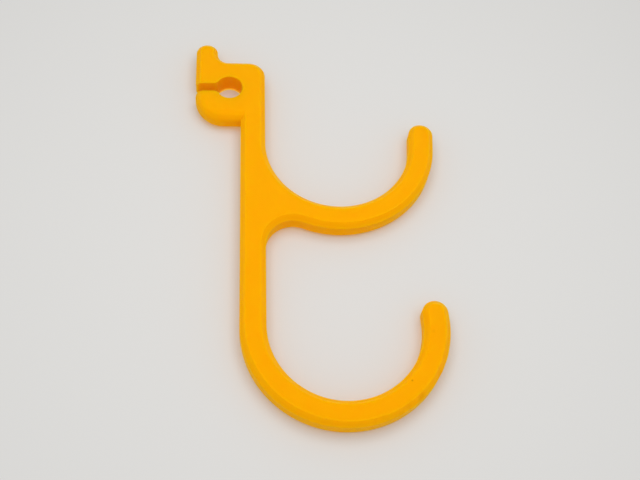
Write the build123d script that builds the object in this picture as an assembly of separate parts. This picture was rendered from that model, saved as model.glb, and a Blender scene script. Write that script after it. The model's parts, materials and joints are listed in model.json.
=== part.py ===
from build123d import *
import os

# Double hook for a slotted pegboard, printed flat in one piece of plastic.
# The outline lies in the XZ plane, and Y runs through the thickness of the print.
# X = 0 is the board's front face: the hooks stand out on +X, the clip reaches through the board on -X.
# Z = 0 is the middle of the slot that the clip fills, and +Z is up the board.
# All sizes are in millimetres and degrees.

# Board that the clip fits
SLOT_WIDTH = 5.0
SLOT_HEIGHT = 15.0
SLOT_CLEARANCE = 0.2  # of the block in its slot, across and along
BOARD_GAP = 5.0  # between peg and stem, snug on a board 5 thick

# Arms: the stem and both hooks share one section
ARM_WIDTH = 5.15
EDGE_CHAMFER = 1.0  # all along the outline, on both broad faces

# Hooks
HOOK_RADIUS = 15.0  # inside of each bend
UPPER_HOOK_DROP = 12.9  # from the middle of the slot down to the upper bend's centre
HOOK_PITCH = 40.65  # from the upper bend's centre down to the lower one's
UPPER_END_ANGLE = -3.9  # where the upper bend stops, counted from level: its tip leans out
UPPER_TIP_LENGTH = 3.6  # straight end of the upper hook
LOWER_END_ANGLE = 3.7  # the lower bend goes past level, so its tip leans in
LOWER_TIP_LENGTH = 1.2
GUSSET_RADIUS = 5.5  # hollow fillet between the stem and the underside of the upper hook

# Clip
PEG_WIDTH = 4.6
PEG_ROOT_RADIUS = 2.2  # between the block's top and the peg
PEG_FLAT = 0.2  # straight front of the peg, from its root to its round end
BLOCK_CORNER_RADIUS = 3.5  # front top corner of the block
JAW_CORNER_RADIUS = 6.0  # lead-in at the back of the jaw
JAW_ROUND = 2.0  # round-over of the jaw's edges, for the slot's round end

# Spring relief that frees the jaw
RELIEF_DIAMETER = 5.5
RELIEF_SETBACK = 2.4  # from the board's front face back to the relief's centre
RELIEF_HEIGHT = 0.35  # of the relief and its slit above the middle of the slot
SLIT_WIDTH = 2.0
SLIT_BLEND_RADIUS = 1.2  # where the slit opens into the relief
SLIT_LIP_RADIUS = 0.6  # at the slit's mouth

thickness = SLOT_WIDTH - SLOT_CLEARANCE
block_top = (SLOT_HEIGHT - SLOT_CLEARANCE) / 2
block_bottom = -block_top
clip_back = -(BOARD_GAP + PEG_WIDTH)
peg_front = -BOARD_GAP
hook_centre = ARM_WIDTH + HOOK_RADIUS
hook_outside = HOOK_RADIUS + ARM_WIDTH
upper_centre = -UPPER_HOOK_DROP
lower_centre = upper_centre - HOOK_PITCH
stem_head = (RELIEF_HEIGHT + block_top - BLOCK_CORNER_RADIUS) / 2  # inside the block, above the slit


def panel(left, right, bottom, top):
    """Rectangle between four sides."""
    return Pos((left + right) / 2, (bottom + top) / 2) * Rectangle(right - left, top - bottom)


def rounded(profile, x, z, radius):
    """The profile with its corner nearest to a point filleted."""
    corner = profile.vertices().sort_by_distance((x, z, 0))[0]
    return fillet(corner, radius)


def slab(profile, depth):
    """The profile, drawn in XY, stood up in XZ and given its depth to both sides."""
    return extrude(Plane.XZ * profile, depth / 2, both=True)


def rims(solid):
    """The outline's edges on the two broad faces."""
    layers = solid.edges().group_by(Axis.Y)
    return layers[0] + layers[-1]


def hook_line(centre_height, end_angle, tip_length):
    """Middle line of a hook, from the stem round the bend to its tip."""
    bend = CenterArc((hook_centre, centre_height), HOOK_RADIUS + ARM_WIDTH / 2, 180, 180 + end_angle)
    tip = Line(bend @ 1, bend @ 1 + (bend % 1) * tip_length)
    return [bend, tip]


def make_arms():
    """Stem and both hooks, round at their tips, with the gusset and chamfered edges."""
    stem = Line((ARM_WIDTH / 2, stem_head), (ARM_WIDTH / 2, lower_centre))
    lower = SlotArc(Wire([stem] + hook_line(lower_centre, LOWER_END_ANGLE, LOWER_TIP_LENGTH)), ARM_WIDTH)
    upper = SlotArc(Wire(hook_line(upper_centre, UPPER_END_ANGLE, UPPER_TIP_LENGTH)), ARM_WIDTH)
    crotch_drop = (hook_outside**2 - HOOK_RADIUS**2) ** 0.5
    profile = rounded(lower + upper, ARM_WIDTH, upper_centre - crotch_drop, GUSSET_RADIUS)
    arms = slab(profile, thickness)
    return chamfer(rims(arms), EDGE_CHAMFER)


def make_peg_head():
    """Upper half of the block and the round-ended peg, down to the middle of the slit."""
    peg_middle = (clip_back + peg_front) / 2
    peg_end = block_top + PEG_ROOT_RADIUS + PEG_FLAT
    hidden_edge = RELIEF_HEIGHT - 2 * EDGE_CHAMFER
    profile = panel(clip_back, ARM_WIDTH, hidden_edge, block_top)
    profile += panel(clip_back, peg_front, hidden_edge, peg_end)
    profile += Pos(peg_middle, peg_end) * Circle(PEG_WIDTH / 2)
    profile = rounded(profile, peg_front, block_top, PEG_ROOT_RADIUS)
    profile = rounded(profile, ARM_WIDTH, block_top, BLOCK_CORNER_RADIUS)
    head = slab(profile, thickness)
    head = chamfer(rims(head), EDGE_CHAMFER)
    return split(head, Plane.XY.offset(RELIEF_HEIGHT), Keep.TOP)


def make_jaw():
    """Lower half of the block, rounded over to enter the slot's end, up to the middle of the slit."""
    hidden_edge = RELIEF_HEIGHT + 2 * JAW_ROUND
    profile = panel(clip_back, ARM_WIDTH, block_bottom, hidden_edge)
    profile = rounded(profile, clip_back, block_bottom, JAW_CORNER_RADIUS)
    jaw = slab(profile, thickness)
    jaw = fillet(rims(jaw), JAW_ROUND)
    return split(jaw, Plane.XY.offset(RELIEF_HEIGHT), Keep.BOTTOM)


def make_relief():
    """Round relief, and the slit from it out through the back of the clip, with sharp rims on both faces."""
    slit_top = RELIEF_HEIGHT + SLIT_WIDTH / 2
    slit_bottom = RELIEF_HEIGHT - SLIT_WIDTH / 2
    radius = RELIEF_DIAMETER / 2
    meeting = -RELIEF_SETBACK - (radius**2 - (SLIT_WIDTH / 2) ** 2) ** 0.5
    mouth = SLIT_WIDTH / 2 + 2 * SLIT_LIP_RADIUS
    profile = Pos(-RELIEF_SETBACK, RELIEF_HEIGHT) * Circle(radius)
    profile += panel(clip_back, -RELIEF_SETBACK, slit_bottom, slit_top)
    profile += panel(clip_back - PEG_WIDTH, clip_back, RELIEF_HEIGHT - mouth, RELIEF_HEIGHT + mouth)
    for edge in (slit_top, slit_bottom):
        profile = rounded(profile, meeting, edge, SLIT_BLEND_RADIUS)
        profile = rounded(profile, clip_back, edge, SLIT_LIP_RADIUS)
    return slab(profile, 2 * thickness)


double_hook = make_arms() + make_peg_head() + make_jaw() - make_relief()

os.makedirs("parts", exist_ok=True)
export_step(double_hook, "parts/double_hook.step")

size = double_hook.bounding_box().size
print(f"double_hook: {len(double_hook.solids())} solid, {double_hook.volume:.1f} cubic mm")
print(f"size: {size.X:.2f} by {size.Y:.2f} by {size.Z:.2f} mm")
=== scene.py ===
# %% [markdown]
# # A printed double hook for a slotted pegboard
# The object is one flat piece of yellow-orange plastic: a stem, two hooks, and a split clip that snaps into
# a board. It was printed lying on its side, so it is a pile of thin layers, and each layer is a line of
# plastic laid along the outline. This lesson builds it the same way: first the outline, then its edges and
# layers, then the plastic, and last the floor that it lies on, the light and the camera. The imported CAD
# model comes first. It is the frame: metres, X out of the board, Z up the board, Y through the print.

# %% Load the frame
import json
import math

import bpy
import numpy as np
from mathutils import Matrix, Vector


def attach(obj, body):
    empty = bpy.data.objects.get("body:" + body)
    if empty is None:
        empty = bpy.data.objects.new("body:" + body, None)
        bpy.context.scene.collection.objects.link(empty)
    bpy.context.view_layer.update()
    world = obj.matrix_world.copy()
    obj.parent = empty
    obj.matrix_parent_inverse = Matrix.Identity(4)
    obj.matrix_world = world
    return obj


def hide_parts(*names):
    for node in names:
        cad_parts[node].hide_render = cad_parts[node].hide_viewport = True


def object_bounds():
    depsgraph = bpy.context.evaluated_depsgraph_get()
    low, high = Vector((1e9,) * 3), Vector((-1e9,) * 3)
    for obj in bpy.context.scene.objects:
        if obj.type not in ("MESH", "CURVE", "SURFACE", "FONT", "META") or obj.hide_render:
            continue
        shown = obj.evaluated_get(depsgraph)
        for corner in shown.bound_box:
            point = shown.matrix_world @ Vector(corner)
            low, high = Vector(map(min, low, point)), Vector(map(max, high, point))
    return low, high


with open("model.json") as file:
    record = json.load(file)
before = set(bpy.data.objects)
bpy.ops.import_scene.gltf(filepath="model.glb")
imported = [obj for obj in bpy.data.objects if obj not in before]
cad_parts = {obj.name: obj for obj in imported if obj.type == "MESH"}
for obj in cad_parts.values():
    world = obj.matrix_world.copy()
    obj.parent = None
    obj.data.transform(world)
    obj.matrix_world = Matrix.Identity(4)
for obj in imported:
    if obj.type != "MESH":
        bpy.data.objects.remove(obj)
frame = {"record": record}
cad_box = [list(corner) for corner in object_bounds()]
print("CAD box in metres:", np.round(cad_box, 5).tolist())

# %% [markdown]
# ## The main sizes
# The frame already holds them. Its box gives the thickness of the print, and its record gives the seat of
# each hook, which is the lowest point inside the bend, with the bend's radius. The width of the stem
# follows from those. The board and its slot are in the record too, because the clip is made to fill that
# slot. Lengths stay in millimetres until the mesh is made.

# %% Sizes from the frame, in millimetres
MM = 0.001  # in metres
mounts = {mount["name"]: mount for mount in frame["record"]["mounts"]}


def bend_centre(seat):
    """A bend's centre (x, z): one radius above its seat."""
    x, _, z = np.array(seat["pos_m"]) / MM
    return np.array([x, z + seat["dims"]["r_mm"]])


thickness = round((cad_box[1][1] - cad_box[0][1]) / MM, 3)
upper_centre = bend_centre(mounts["upper_hook_seat"])
lower_centre = bend_centre(mounts["lower_hook_seat"])
hook_radius = mounts["upper_hook_seat"]["dims"]["r_mm"]
arm_width = upper_centre[0] - hook_radius
hook_outside = hook_radius + arm_width
board_thickness = mounts["slot_clip"]["dims"]["length_mm"]
slot_height = mounts["slot_clip"]["dims"]["slot_length_mm"]
print(f"print {thickness} mm thick, arms {arm_width:.2f} mm wide, bends of radius {hook_radius} mm")

# %% [markdown]
# ## Lines and arcs
# Seen from the side, the hook is one closed line of straight runs and arcs. It could be drawn as a Bezier
# curve, but lines and arcs give exact radii, and each point can also say which way the plastic lies, which
# the chamfers and the layers need later. Both helpers leave out their last point, because the next run
# starts there.

# %% Helpers for lines and arcs
STRAIGHT_STEP, BEND_STEP = 1.5, 0.55  # mm from point to point on long runs and wide bends
FINE_STEP, SMALL_STEP, TINY_STEP = 0.4, 0.3, 0.15  # mm, where the outline needs closer points
FEWEST_STRAIGHT, FEWEST_BEND = 2, 8  # points of a run, however short


def straight(start, end, step=STRAIGHT_STEP):
    """Start plus an even share of the way to the end. The plastic is on the right of the way."""
    start, end = np.array(start), np.array(end)
    length = np.linalg.norm(end - start)
    count = max(FEWEST_STRAIGHT, round(length / step))
    ahead = (end - start) / length
    points = start + np.arange(count)[:, None] / count * (end - start)
    return points, np.tile([ahead[1], -ahead[0]], (count, 1))


def bend(centre, radius, first, last, step=BEND_STEP):
    """Centre plus radius times (cos, sin) of an angle that runs evenly from first to last, in degrees.
    The plastic is towards the centre where the angle falls, and away from it where the angle grows."""
    count = max(FEWEST_BEND, round(abs(math.radians(last - first)) * radius / step))
    angle = np.radians(first + (last - first) * np.arange(count) / count)
    ray = np.stack([np.cos(angle), np.sin(angle)], 1)
    return np.array(centre) + radius * ray, ray * np.sign(last - first)


def on_circle(centre, radius, angle):
    """The point of a circle at an angle in degrees."""
    angle = math.radians(angle)
    return np.array(centre) + radius * np.array([math.cos(angle), math.sin(angle)])


print("points on half a turn of a hook:", len(bend(upper_centre, hook_radius, 180, 360)[0]))

# %% [markdown]
# ## Stem and hooks
# Both hooks are arms of the stem's width, bent round the same radius, with round tips. The upper one leans
# out a little at its tip and the lower one leans in. A hollow fillet, the gusset, joins the underside of
# the upper hook to the stem. Its centre lies where a circle touches both, so it is worked out and not
# guessed.

# %% Outline of the hooks
UPPER_END, UPPER_TIP = -3.9, 3.6  # degrees where the bend stops, and mm of straight arm after it
LOWER_END, LOWER_TIP = 3.7, 1.2
GUSSET_RADIUS = 5.5


def hook_tip(centre, end, length):
    """The straight end of a hook and its round tip: up the inner side, round, and down the outer side."""
    ahead = on_circle((0, 0), length, end + 90)
    inner, outer = (on_circle(centre, radius, end) for radius in (hook_radius, hook_outside))
    middle = (inner + outer) / 2 + ahead
    inner_side, outer_side = straight(inner, inner + ahead), straight(outer + ahead, outer)
    return [inner_side, bend(middle, arm_width / 2, end + 180, end), outer_side]


gusset_x = arm_width + GUSSET_RADIUS
gusset_fall = math.sqrt((hook_outside + GUSSET_RADIUS) ** 2 - (gusset_x - upper_centre[0]) ** 2)
gusset_centre = (gusset_x, upper_centre[1] - gusset_fall)
gusset_angle = math.degrees(math.atan2(-gusset_fall, gusset_x - upper_centre[0]))
hooks = {
    "upper hook": [
        bend(upper_centre, hook_radius, 180, 360 + UPPER_END),
        *hook_tip(upper_centre, UPPER_END, UPPER_TIP),
        bend(upper_centre, hook_outside, UPPER_END, gusset_angle),
        bend(gusset_centre, GUSSET_RADIUS, gusset_angle + 180, 180, FINE_STEP),
        straight((arm_width, gusset_centre[1]), (arm_width, lower_centre[1])),
    ],
    "lower hook": [
        bend(lower_centre, hook_radius, 180, 360 + LOWER_END),
        *hook_tip(lower_centre, LOWER_END, LOWER_TIP),
    ],
    "lower outside": [bend(lower_centre, hook_outside, LOWER_END, -180, FINE_STEP)],
}
print("gusset centre:", np.round(gusset_centre, 2), "mm")

# %% [markdown]
# ## The clip
# The clip is a block as high as the board's slot. A peg stands up from its back, behind the board, and the
# jaw below has a large rounded corner that leads it into the slot. The board lies between the peg and the
# stem.

# %% Outline of the clip
SLOT_CLEARANCE = 0.2
PEG_WIDTH, PEG_ROOT, PEG_FLAT = 4.6, 2.2, 0.2  # width, fillet at its root, straight front above that
BLOCK_CORNER, JAW_CORNER = 3.5, 6.0
JAW_STEP = 0.6  # from point to point under the jaw
SLIT_HEIGHT, SLIT_WIDTH, SLIT_LIP = 0.35, 2.0, 0.6  # middle of the slit, its width, its rounded mouth
peg_front = -board_thickness
clip_back = peg_front - PEG_WIDTH
block_top = (slot_height - SLOT_CLEARANCE) / 2
peg_end = block_top + PEG_ROOT + PEG_FLAT
slit_top, slit_bottom = SLIT_HEIGHT + SLIT_WIDTH / 2, SLIT_HEIGHT - SLIT_WIDTH / 2

clip_upper = {
    "peg and block": [
        straight((clip_back, slit_top + SLIT_LIP), (clip_back, peg_end)),
        bend((clip_back + PEG_WIDTH / 2, peg_end), PEG_WIDTH / 2, 180, 0, SMALL_STEP),
        straight((peg_front, peg_end), (peg_front, block_top + PEG_ROOT)),
        bend((peg_front + PEG_ROOT, block_top + PEG_ROOT), PEG_ROOT, 180, 270, SMALL_STEP),
        straight((peg_front + PEG_ROOT, block_top), (arm_width - BLOCK_CORNER, block_top)),
        bend((arm_width - BLOCK_CORNER, block_top - BLOCK_CORNER), BLOCK_CORNER, 90, 0, FINE_STEP),
        straight((arm_width, block_top - BLOCK_CORNER), (arm_width, upper_centre[1])),
    ],
}
clip_lower = {
    "stem back": [straight((0, lower_centre[1]), (0, -block_top))],
    "jaw": [
        straight((0, -block_top), (clip_back + JAW_CORNER, -block_top), JAW_STEP),
        bend((clip_back + JAW_CORNER, JAW_CORNER - block_top), JAW_CORNER, 270, 180, FINE_STEP),
        straight((clip_back, JAW_CORNER - block_top), (clip_back, slit_bottom - SLIT_LIP)),
    ],
}
print(f"clip from {clip_back:.1f} to {arm_width:.2f} mm, peg up to {peg_end + PEG_WIDTH / 2:.1f} mm")

# %% [markdown]
# ## The slit and its relief hole
# A slit parts the jaw from the rest, so that the jaw can give when it is pushed into the board, and it ends
# in a round hole that keeps it from tearing. Because the slit is open, the hole is no separate cut: the
# outline goes in along the slit, round the hole and out again. Small arcs round the slit's mouth and the
# two corners at the hole.

# %% Outline of the slit, and the whole line
RELIEF_SETBACK, RELIEF_RADIUS = 2.4, 2.75  # the hole's centre behind the board's face, and its radius
SLIT_BLEND = 1.2  # radius where the slit opens into the hole
relief_centre = (-RELIEF_SETBACK, SLIT_HEIGHT)
blend_angle = math.degrees(math.asin((SLIT_WIDTH / 2 + SLIT_BLEND) / (RELIEF_RADIUS + SLIT_BLEND)))
blend_x = relief_centre[0] - (RELIEF_RADIUS + SLIT_BLEND) * math.cos(math.radians(blend_angle))
lip_x = clip_back + SLIT_LIP

slit = {
    "lower lip": [bend((lip_x, slit_bottom - SLIT_LIP), SLIT_LIP, 180, 90)],
    "slit bottom": [straight((lip_x, slit_bottom), (blend_x, slit_bottom), FINE_STEP)],
    "relief": [
        bend((blend_x, slit_bottom - SLIT_BLEND), SLIT_BLEND, 90, blend_angle, TINY_STEP),
        bend(relief_centre, RELIEF_RADIUS, 180 + blend_angle, 540 - blend_angle, SMALL_STEP),
        bend((blend_x, slit_top + SLIT_BLEND), SLIT_BLEND, -blend_angle, -90, TINY_STEP),
    ],
    "slit top": [straight((blend_x, slit_top), (lip_x, slit_top), FINE_STEP)],
    "upper lip": [bend((lip_x, slit_top + SLIT_LIP), SLIT_LIP, 270, 180)],
}
legs = {**clip_upper, **hooks, **clip_lower, **slit}
outline = np.concatenate([points for runs in legs.values() for points, _ in runs])
inward = np.concatenate([plastic for runs in legs.values() for _, plastic in runs])
leg_of = np.repeat(list(legs), [sum(len(points) for points, _ in runs) for runs in legs.values()])
steps = np.linalg.norm(np.roll(outline, -1, 0) - outline, axis=1)
travel = np.concatenate([[0], np.cumsum(steps)])
print(f"outline: {len(outline)} points, {travel[-1]:.1f} mm long, longest step {steps.max():.2f} mm")

# %% [markdown]
# ## What the edges do
# On the way from one broad face to the other, the outline moves. Along the arms it starts 1 mm inside, at
# the chamfer, and reaches its full size 1 mm deep. Round the jaw it follows a quarter circle, to enter the
# slot's round end. In the slit and the hole it stays put, because those rims are sharp. A Bevel modifier
# could cut one kind of edge, but not the change from one kind to the next, so each point of the outline
# gets its own way to move. Where the stem's chamfer meets the jaw's round, in the corner under the clip,
# the point has both.

# %% The way that each point moves
CHAMFER = 1.0
JAW_ROUND = 2.0
chamfered = np.isin(leg_of, ["peg and block", "upper hook", "lower hook", "lower outside", "stem back"])
rounded = leg_of == "jaw"
sharp = ~chamfered & ~rounded
chamfer_way = inward * chamfered[:, None]
round_way = inward * rounded[:, None]
corner = np.flatnonzero(rounded)[0]
chamfer_way[corner], round_way[corner], inward[corner] = (1, 0), (0, 1), (1, 1)
print("chamfered, rounded and sharp points:", chamfered.sum(), rounded.sum(), sharp.sum())

# %% [markdown]
# ## The mouth of the slit
# Here the edges of the peg and the jaw run out into the slit. As they draw back, the rounded lips are cut
# away bit by bit, and behind them the slit gets shorter. So a lip's point moves only once the edge has
# reached it, straight in along the slit, and the points of the slit are pushed together evenly, down to
# none at the relief hole.

# %% The lips and the slit
reach = np.zeros(len(outline))
mouth = (("upper lip", "slit top", chamfer_way), ("lower lip", "slit bottom", round_way))
for lip, run, edge_way in mouth:
    at_lip, at_run = leg_of == lip, leg_of == run
    reach[at_lip], reach[at_run] = outline[at_lip, 0] - clip_back, SLIT_LIP
    for way in (edge_way, inward):
        way[at_lip, 0] = 1
        way[at_run, 0] = (blend_x - outline[at_run, 0]) / (blend_x - lip_x)
print("points that wait for the edge to reach them:", (reach > 0).sum())

# %% [markdown]
# ## Layers
# A printed part is laid down in layers about 0.2 mm high, so this one has 24. The side of each layer bulges
# a little, and the grooves between them are the fine lines seen on any printed edge. They could be painted
# as bump, but then the outline and the exported mesh would be smooth, so here they are part of the shape:
# each layer has three rows of points, and the row between two layers sits deeper. On the broad faces the
# outermost line of plastic follows the edge, and a shallow groove parts it from the fill inside.

# %% Rows from face to face
LAYER = 0.2
GROOVE = 0.03  # depth between two layers
LINE_WIDTH = 0.42  # of the line of plastic along the edge of a broad face
LINE_GROOVE, LINE_GROOVE_HALF = 0.012, 0.08  # depth and half width of the groove beside it
HAIR = 1e-6  # keeps a row on the border of two layers from falling to the one before
layers = round(thickness / LAYER)

in_layer = np.array([0.0, 0.25, 0.75])  # a layer's rows, as shares of its height
side_depth = np.append((np.arange(layers)[:, None] + in_layer).ravel() * LAYER, thickness)
side_groove = np.append(np.tile((2 * in_layer - 1) ** 2, layers), 1.0) * GROOVE
face_inset = LINE_WIDTH + np.array([1, 0, -1]) * LINE_GROOVE_HALF
face_sink = np.array([0, LINE_GROOVE, 0])

depth = np.concatenate([face_sink, side_depth, thickness - face_sink])
groove = np.concatenate([0 * face_sink + GROOVE, side_groove, 0 * face_sink + GROOVE])
line_inset = np.concatenate([face_inset, 0 * side_depth, face_inset[::-1]])
layer_of_row = np.clip((depth / LAYER + HAIR).astype(int), 0, layers - 1)
print(f"{layers} layers of {LAYER} mm, {len(depth)} rows of points")

# %% [markdown]
# ## Small faults of the print
# A line of molten plastic is never quite even. Each layer wanders by about a hundredth of a millimetre, and
# on the outside of the lower hook, towards its tip, the front chamfer came out lumpy. Both are random
# waves: values drawn at even distances along the outline from a seeded generator, with straight lines
# between them. The lumps are joined in the same way from row to row, so that a lump is as wide as it is
# long.

# %% Uneven layers and the lumpy chamfer
WANDER, WANDER_STEP = 0.012, 2.5  # how far a layer wanders, and the spacing of its drawn values
LUMP, LUMP_STEP = 0.22, 0.9  # from the deepest pit to the highest lump, and the spacing of theirs
LUMPY_ARC = (-80.0, -14.0)  # degrees round the lower hook's centre
LUMPY_DEPTH = 0.6  # behind the front face, where the lumps are highest
ARC_FADE, DEPTH_FADE = 1.5, 1.2  # above 1, so that the lumps keep their full height for a stretch
SEED = 11
rng = np.random.default_rng(SEED)


def waves(count, step):
    """A count of rows of random values from 0 to 1, one at every step of the outline, joined by lines."""
    knots = np.arange(0, travel[-1], step)
    values = rng.random((count, len(knots)))
    return np.array([np.interp(travel[:-1], knots, row, period=travel[-1]) for row in values])


wander = WANDER * waves(layers, WANDER_STEP)[layer_of_row]
lump_rows = waves(math.ceil(thickness / LUMP_STEP) + 1, LUMP_STEP)
above = (depth / LUMP_STEP).astype(int)
share = (depth / LUMP_STEP - above)[:, None]
bumpy = (1 - share) * lump_rows[above] + share * lump_rows[above + 1] - 0.5  # below 0 in a pit
from_lower = outline - lower_centre
angle = np.degrees(np.arctan2(from_lower[:, 1], from_lower[:, 0]))
off_middle = (angle - np.mean(LUMPY_ARC)) / (np.ptp(LUMPY_ARC) / 2)
along_arc = np.clip(ARC_FADE - ARC_FADE * off_middle**2, 0, 1) * (leg_of == "lower outside")
front_edge = np.clip(DEPTH_FADE - np.abs(depth - LUMPY_DEPTH) / CHAMFER, 0, 1) * (line_inset == 0)
lumps = LUMP * bumpy * along_arc * front_edge[:, None]
print(f"wander up to {wander.max():.3f} mm, lumps from {lumps.min():.3f} to {lumps.max():.3f} mm")

# %% [markdown]
# ## The surface
# Now the grid: one direction runs along the outline, the other from the front face over the edge and the
# wall to the back face. Every vertex is the outline's point plus its shifts, worked out for the whole grid
# at once.

# %% The grid of points
def edge_inset(row_depth):
    """Chamfer: its size less the depth. Round: radius less the root of (radius squared less (radius less
    depth) squared). The depth counts from the nearer broad face."""
    near = np.clip(np.minimum(row_depth, thickness - row_depth), 0, None)
    cut = np.clip(CHAMFER - near, 0, None)
    curve = JAW_ROUND - np.sqrt(JAW_ROUND**2 - np.clip(JAW_ROUND - near, 0, None) ** 2)
    return cut, curve


def hook_surface():
    """Outline plus chamfer shift plus round shift, each less the point's reach, plus grooves, faults and
    the line's inset along the inward way. Rows by points by (x, y, z), in metres."""
    on_face = line_inset > 0
    cut, curve = edge_inset(np.where(on_face, np.round(depth / thickness) * thickness, depth))
    shift = np.clip(cut[:, None] - reach, 0, None)[..., None] * chamfer_way
    shift = shift + np.clip(curve[:, None] - reach, 0, None)[..., None] * round_way
    in_by = (groove + line_inset)[:, None] + wander - lumps
    flat = outline + shift + in_by[..., None] * inward
    y = np.broadcast_to(depth[:, None] - thickness / 2, flat.shape[:2])
    return np.stack([flat[..., 0], y, flat[..., 1]], -1) * MM


grid = hook_surface()
rows, columns = grid.shape[:2]
print(f"grid of {rows} rows by {columns} points")

# %% [markdown]
# ## From grid to mesh
# Each cell of the grid is a face of four corners, and the last column joins the first. The two broad faces
# inside their edge lines are flat, so each is one large face, shaded flat. Everything else is shaded
# smooth, except over edges that turn by 30 degrees or more, such as the rims and the grooves. The lumps are
# also kept as a value on each point, so that the material can paint shade into the low places.

# %% Faces
SHARP_ANGLE = 30  # degrees
here = np.arange(columns)
after = np.roll(here, -1)
row = np.arange(rows - 1)[:, None] * columns
quads = np.stack([row + here, row + after, row + columns + after, row + columns + here], -1).reshape(-1, 4)
broad_faces = [here[::-1], (rows - 1) * columns + here]
corners = np.concatenate([quads.ravel(), *broad_faces])
starts = np.append(np.arange(len(quads)) * 4, [quads.size, quads.size + columns])

mesh = bpy.data.meshes.new("printed_hook")
mesh.vertices.add(rows * columns)
mesh.vertices.foreach_set("co", grid.astype(np.float32).ravel())
mesh.loops.add(len(corners))
mesh.loops.foreach_set("vertex_index", corners.astype(np.int32))
mesh.polygons.add(len(starts))
mesh.polygons.foreach_set("loop_start", starts.astype(np.int32))
mesh.update(calc_edges=True)
mesh.polygons.foreach_set("use_smooth", np.arange(len(starts)) < len(quads))
mesh.set_sharp_from_angle(angle=math.radians(SHARP_ANGLE))
# the depth of the pits, which the material turns into painted shade
pits = np.clip(-lumps / (LUMP / 2), 0, 1)  # 1 in the deepest pit that there can be
mesh.attributes.new("pit", "FLOAT", "POINT").data.foreach_set("value", pits.astype(np.float32).ravel())
mended = mesh.validate()
print("mesh had to be mended:", mended, "and has", 2 * len(quads) + 2 * (columns - 2), "triangles")

# %% [markdown]
# ## A map for textures
# When the finish is baked for other programs, every bit of the surface needs its own place on a flat map.
# The two broad faces are laid down as they are. The wall is a ribbon 380 mm long, so it is cut into strips
# that are stacked beside them. Blender could unwrap this by itself, but it would cut the ribbon into many
# more bits.

# %% The map
STRIPS = 11
MAP_GAP = 1.0
STRIP_END = 3 * MAP_GAP  # the last face of a strip reaches past the strip's length
strip_length = travel[-1] / STRIPS
profile_step = np.linalg.norm(np.diff(grid[:, columns // 2], axis=0), axis=1) / MM
across = np.concatenate([[0], np.cumsum(profile_step)])
strip_pitch = across[-1] + MAP_GAP
(low_x, _, low_z), (high_x, _, high_z) = np.array(cad_box) / MM
face_width, face_height = high_x - low_x + MAP_GAP, high_z - low_z + MAP_GAP

strip = np.floor(travel[:-1] / strip_length)
strip_u = np.stack([travel[:-1], travel[1:], travel[1:], travel[:-1]], -1) - (strip * strip_length)[:, None]
strip_v = np.stack([across[:-1], across[:-1], across[1:], across[1:]], -1)
wall_u = np.broadcast_to(strip_u, (rows - 1, columns, 4)) + 2 * face_width
wall_v = strip_v[:, None] + (strip * strip_pitch)[:, None]
front_uv = grid[0, ::-1][:, [0, 2]] / MM - [low_x, low_z]
back_uv = grid[-1][:, [0, 2]] / MM - [low_x - face_width, low_z]
places = np.concatenate([np.stack([wall_u, wall_v], -1).reshape(-1, 2), front_uv, back_uv]) + MAP_GAP / 2
map_size = [2 * face_width + strip_length + STRIP_END, max(face_height, STRIPS * strip_pitch) + MAP_GAP]
mesh.uv_layers.new(name="OFBake").uv.foreach_set("vector", (places / map_size).astype(np.float32).ravel())
print("map of", np.round(map_size, 1), "mm, used up to", places.max(0).round(1), "mm")

# %% [markdown]
# ## Taking the CAD node's place
# The new mesh has the CAD solid's form plus its layers, so it stands for the whole node. It rides on the
# one body that the part has.

# %% The piece in the frame
hook = bpy.data.objects.new("printed_hook", mesh)
bpy.context.scene.collection.objects.link(hook)
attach(hook, "root")
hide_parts("double_hook")
print("piece:", hook.name, "with", len(mesh.vertices), "vertices")

# %% [markdown]
# ## Helpers for materials
# Colours are written as they look on a screen, and Blender wants them linear, so one function turns them.
# Another adds a node with its settings and links, which keeps each pattern to a line or two.

# %% Colours and nodes
MIX_A, MIX_B, MIX_RESULT = 6, 7, 2  # a Mix node's sockets for two colours, and for what comes out


def linear(hex_colour):
    """An sRGB hex colour as linear red, green, blue and an alpha of 1: a part up to 0.04045 is divided by
    12.92, and a larger one is ((part plus 0.055) divided by 1.055) to the power of 2.4."""
    parts = np.array([int(hex_colour[i : i + 2], 16) for i in (1, 3, 5)]) / 255
    return (*np.where(parts <= 0.04045, parts / 12.92, ((parts + 0.055) / 1.055) ** 2.4), 1.0)


def add_node(tree, kind, inputs=(), **settings):
    """Adds a node with its settings. Each input is (name or number, value or another node's output)."""
    node = tree.nodes.new(kind)
    for name, value in settings.items():
        setattr(node, name, value)
    for key, value in inputs:
        if isinstance(value, bpy.types.NodeSocket):
            tree.links.new(value, node.inputs[key])
        else:
            node.inputs[key].default_value = value
    return node


def new_material(name):
    """A material with an empty node tree and its output."""
    material = bpy.data.materials.new(name)
    material.use_nodes = True
    material.node_tree.nodes.clear()
    return material, material.node_tree, material.node_tree.nodes.new("ShaderNodeOutputMaterial")


print("a middle grey in linear light:", round(float(linear("#808080")[0]), 3))

# %% [markdown]
# ## The plastic: dye
# The hook is PLA, dyed through in a warm yellow and printed from a strand. The dye isn't quite even along a
# strand, so each layer has a slightly different tone, and soft clouds run through them. All patterns read
# Object coordinates, turned to millimetres, so that each has its real size.

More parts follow.
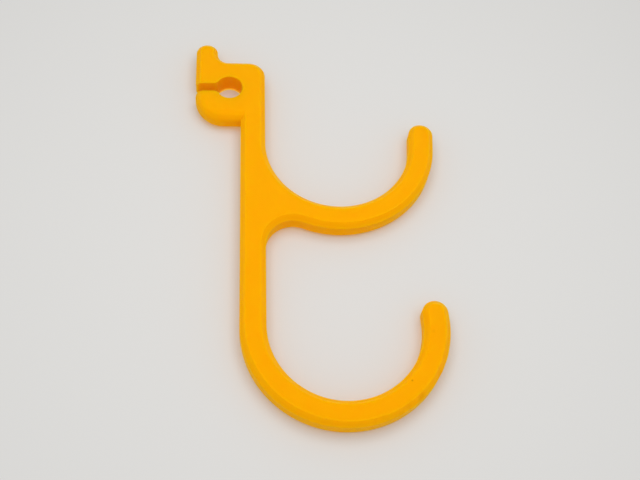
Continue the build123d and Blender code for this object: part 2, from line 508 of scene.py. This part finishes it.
# %% Printed PLA: the dye
DYE, DYE_DEEP = "#FDB104", "#F8A904"
CLOUD = 6.0  # mm, size of a cloud in the dye
LAYER_NUDGE = 0.01  # of a layer, so that a broad face, which lies on a border, has one tone
pla, tree, output = new_material("printed_pla_yellow")
place = add_node(tree, "ShaderNodeTexCoord").outputs["Object"]
mm = add_node(tree, "ShaderNodeVectorMath", [(0, place), ("Scale", 1 / MM)], operation="SCALE").outputs[0]
y = add_node(tree, "ShaderNodeSeparateXYZ", [(0, mm)]).outputs["Y"]
count_up = [(0, y), (1, 1 / LAYER), (2, layers / 2 + LAYER_NUDGE)]
layer_count = add_node(tree, "ShaderNodeMath", count_up, operation="MULTIPLY_ADD").outputs[0]
layer_number = add_node(tree, "ShaderNodeMath", [(0, layer_count)], operation="FLOOR").outputs[0]
per_layer = [("W", layer_number)]
by_layer = add_node(tree, "ShaderNodeTexWhiteNoise", per_layer, noise_dimensions="1D").outputs[0]
cloud = add_node(tree, "ShaderNodeTexNoise", [("Vector", mm), ("Scale", 1 / CLOUD)]).outputs[0]
tone = add_node(tree, "ShaderNodeMath", [(0, by_layer), (1, cloud)], operation="MULTIPLY").outputs[0]
two_dyes = [("Factor", tone), (MIX_A, linear(DYE)), (MIX_B, linear(DYE_DEEP))]
colour = add_node(tree, "ShaderNodeMix", two_dyes, data_type="RGBA").outputs[MIX_RESULT]
print("dye from", DYE, "to", DYE_DEEP)

# %% [markdown]
# ## The plastic: stains and painted shade
# The lower hook has a tiny dark speck and a fainter mark, and the lumpy chamfer is painted darker in its
# low places, as painted shade. A spot is painted by its distance from one point of the face, fading to
# nothing at its rim.

# %% Printed PLA: speck, mark and painted shade in the pits
# the speck and the mark take this colour as stains, and the pits take it as painted shade
STAIN_AND_SHADE = "#A85A06"
# how dark the painted shade is in the deepest pit
PIT_SHADE = 0.2
SPOTS = {"speck": (31.9, -65.1, 0.28, 0.6), "mark": (36.7, -55.3, 0.5, 0.12)}  # x, z, radius, strength
front = -thickness / 2
pit = add_node(tree, "ShaderNodeAttribute", attribute_name="pit").outputs["Fac"]
# painted shade: the pits of the lumpy chamfer are painted darker, by their depth
stains_and_shade = [add_node(tree, "ShaderNodeMath", [(0, pit), (1, PIT_SHADE)], operation="MULTIPLY").outputs[0]]
for x, z, radius, strength in SPOTS.values():
    apart = add_node(tree, "ShaderNodeVectorMath", [(0, mm), (1, (x, front, z))], operation="DISTANCE")
    fade = [("Value", apart.outputs["Value"]), ("From Max", radius), ("To Min", strength), ("To Max", 0.0)]
    stains_and_shade.append(add_node(tree, "ShaderNodeMapRange", fade).outputs[0])
for darkening in stains_and_shade:
    darkened = [("Factor", darkening), (MIX_A, colour), (MIX_B, linear(STAIN_AND_SHADE))]
    colour = add_node(tree, "ShaderNodeMix", darkened, data_type="RGBA").outputs[MIX_RESULT]
print("stains: pits,", ", ".join(SPOTS))

# %% [markdown]
# ## The plastic: skin
# A printed face has a satin skin: light spreads widely on it, with only a weak, broad shine that takes the
# colour of the dye. Light also goes a little way in and comes out redder, which warms the edges and the
# hole. The front face was the last layer, filled with slanting lines 0.45 mm apart. Their swell is far too
# small for geometry, so it is bump, and only the front face has it, because the back lay on the smooth bed
# of the printer.

# %% Printed PLA: fill lines, shine and depth
FILL_LINE = 0.45  # mm between two lines of fill
FILL_HEIGHT = 0.004  # mm, the swell of one line
FILL_FROM, FILL_FULL = -0.97, -0.99  # the normal's Y where the fill lines begin, and where they are full
CLOUD_LOW, CLOUD_HIGH = 0.3, 0.7  # the usual range of the clouds
SMOOTHEST, ROUGHEST = 0.5, 0.6
PLA_IOR = 1.46
SHINE, SHEEN = 0.15, "#FFB000"
GLOW = 1.0  # the share of the light that goes in
GLOW_DEPTH, GLOW_SHARES = 3.0, (1.0, 0.5, 0.1)  # mm, and how much of that red, green and blue go
normal = add_node(tree, "ShaderNodeNewGeometry").outputs["Normal"]
facing = add_node(tree, "ShaderNodeSeparateXYZ", [(0, normal)]).outputs["Y"]
front_only = [("Value", facing), ("From Min", FILL_FROM), ("From Max", FILL_FULL)]
on_front = add_node(tree, "ShaderNodeMapRange", front_only).outputs[0]
turn = 2 * math.pi / FILL_LINE / math.sqrt(2)  # along X and along Z, for a slant of 45 degrees
slant = add_node(tree, "ShaderNodeVectorMath", [(0, mm), (1, (turn, 0, turn))], operation="DOT_PRODUCT")
swell = add_node(tree, "ShaderNodeMath", [(0, slant.outputs["Value"])], operation="SINE").outputs[0]
fill = add_node(tree, "ShaderNodeMath", [(0, swell), (1, on_front)], operation="MULTIPLY").outputs[0]
bump = add_node(tree, "ShaderNodeBump", [("Height", fill), ("Distance", FILL_HEIGHT * MM)])
satin = [
    ("Value", cloud), ("From Min", CLOUD_LOW), ("From Max", CLOUD_HIGH),
    ("To Min", SMOOTHEST), ("To Max", ROUGHEST),
]
roughness = add_node(tree, "ShaderNodeMapRange", satin).outputs[0]
skin = add_node(tree, "ShaderNodeBsdfPrincipled", [
    ("Base Color", colour), ("Roughness", roughness), ("Normal", bump.outputs["Normal"]),
    ("IOR", PLA_IOR), ("Specular IOR Level", SHINE), ("Specular Tint", linear(SHEEN)),
    ("Subsurface Weight", GLOW), ("Subsurface Radius", GLOW_SHARES), ("Subsurface Scale", GLOW_DEPTH * MM),
])
tree.links.new(skin.outputs["BSDF"], output.inputs["Surface"])
mesh.materials.append(pla)
print("material:", pla.name, "with", len(tree.nodes), "nodes")

# %% [markdown]
# ## The floor
# In the photo the hook lies flat and is seen from above. In this frame it stands upright as on its board,
# so the pale floor under it is an upright sheet just behind it. Such a sheet would hide and shade the
# hook's back, so it shows only its front: from behind it is clear, and so it is for rays that leave the
# back of the hook.

# %% The pale sheet behind the hook
SHEET_GAP = 0.05  # mm behind the hook
SHEET_HALF = 1500.0  # mm, half of its side
SHEET_COLOUR = "#DCDBDA"
CLEAR_WITHIN = 0.85  # mm, so that light from behind gets to the back face and its chamfers
sheet_corners = np.array([(-1, 0, -1), (1, 0, -1), (1, 0, 1), (-1, 0, 1)]) * SHEET_HALF
sheet_corners[:, 1] = thickness / 2 + SHEET_GAP
sheet_mesh = bpy.data.meshes.new("floor_sheet")
sheet_mesh.from_pydata(sheet_corners * MM, [], [(0, 1, 2, 3)])
sheet = bpy.data.objects.new("floor_sheet", sheet_mesh)
bpy.context.scene.collection.objects.link(sheet)

paint, tree, output = new_material("matte_floor")
behind = add_node(tree, "ShaderNodeNewGeometry").outputs["Backfacing"]
ray = add_node(tree, "ShaderNodeLightPath").outputs["Ray Length"]
short = [(0, ray), (1, CLEAR_WITHIN * MM)]
near = add_node(tree, "ShaderNodeMath", short, operation="LESS_THAN").outputs[0]
clear = add_node(tree, "ShaderNodeMath", [(0, behind), (1, near)], operation="MAXIMUM").outputs[0]
matte = add_node(tree, "ShaderNodeBsdfDiffuse", [("Color", linear(SHEET_COLOUR))]).outputs[0]
nothing = add_node(tree, "ShaderNodeBsdfTransparent").outputs[0]
mixed = add_node(tree, "ShaderNodeMixShader", [(0, clear), (1, matte), (2, nothing)]).outputs[0]
tree.links.new(mixed, output.inputs["Surface"])
sheet_mesh.materials.append(paint)
print("sheet at y =", round(sheet_corners[0, 1], 2), "mm")

# %% [markdown]
# ## The light
# The photo has soft light from all round and a little more from straight above. A pale world gives the
# first. A lamp panel straight in front of the hook gives the second, and a twin behind the sheet lights the
# hook's back in the same way. From some sides the panels would stand in the way, so the camera doesn't see
# them.

# %% World and lamp panels
WORLD_COLOUR = "#CFCFCD"
PANEL_SIDE, PANEL_AWAY = 0.2, 0.2  # metres
PANEL_WATTS = 0.22
world = bpy.data.worlds.new("pale_world")
world.use_nodes = True
world.node_tree.nodes["Background"].inputs["Color"].default_value = linear(WORLD_COLOUR)
bpy.context.scene.world = world
middle_of_hook = np.mean(cad_box, axis=0)


def lamp_panel(name, side):
    """A square area lamp on one side of the hook, -1 for the front and 1 for the back, that faces it."""
    data = bpy.data.lights.new(name, "AREA")
    data.shape = "SQUARE"
    data.size = PANEL_SIDE
    data.energy = PANEL_WATTS
    lamp = bpy.data.objects.new(name, data)
    lamp.location = middle_of_hook + [0, side * PANEL_AWAY, 0]
    lamp.rotation_euler = (-side * math.pi / 2, 0, 0)
    lamp.visible_camera = False
    bpy.context.scene.collection.objects.link(lamp)
    return lamp


for panel in (lamp_panel("front_panel", -1), lamp_panel("back_panel", 1)):
    print(panel.name, "at", np.round(panel.location, 3), "m")

# %% [markdown]
# ## The camera
# The camera stands where the photo was taken from. Its place, its turn and its lens come from fitting the
# hook's outline and the edges of its broad face to the photo.

# %% Camera
CAMERA_PLACE = (0.313, -171.82, -123.42)  # mm
CAMERA_TURN = (117.192, 1.8137, -4.2664)  # degrees about X, Y and Z
CAMERA_LENS, CAMERA_SENSOR = 54.68, 36.0  # mm
CLIP_NEAR, CLIP_FAR = 0.01, 20.0  # metres
camera_data = bpy.data.cameras.new("photo_camera")
camera_data.sensor_width = CAMERA_SENSOR
camera_data.lens = CAMERA_LENS
camera_data.clip_start, camera_data.clip_end = CLIP_NEAR, CLIP_FAR
camera = bpy.data.objects.new("photo_camera", camera_data)
camera.location = np.array(CAMERA_PLACE) * MM
camera.rotation_euler = np.radians(CAMERA_TURN)
bpy.context.scene.collection.objects.link(camera)
bpy.context.scene.camera = camera
bpy.context.scene.view_settings.view_transform = "Standard"
print("camera:", round(math.dist(camera.location, middle_of_hook), 3), "m from the hook")
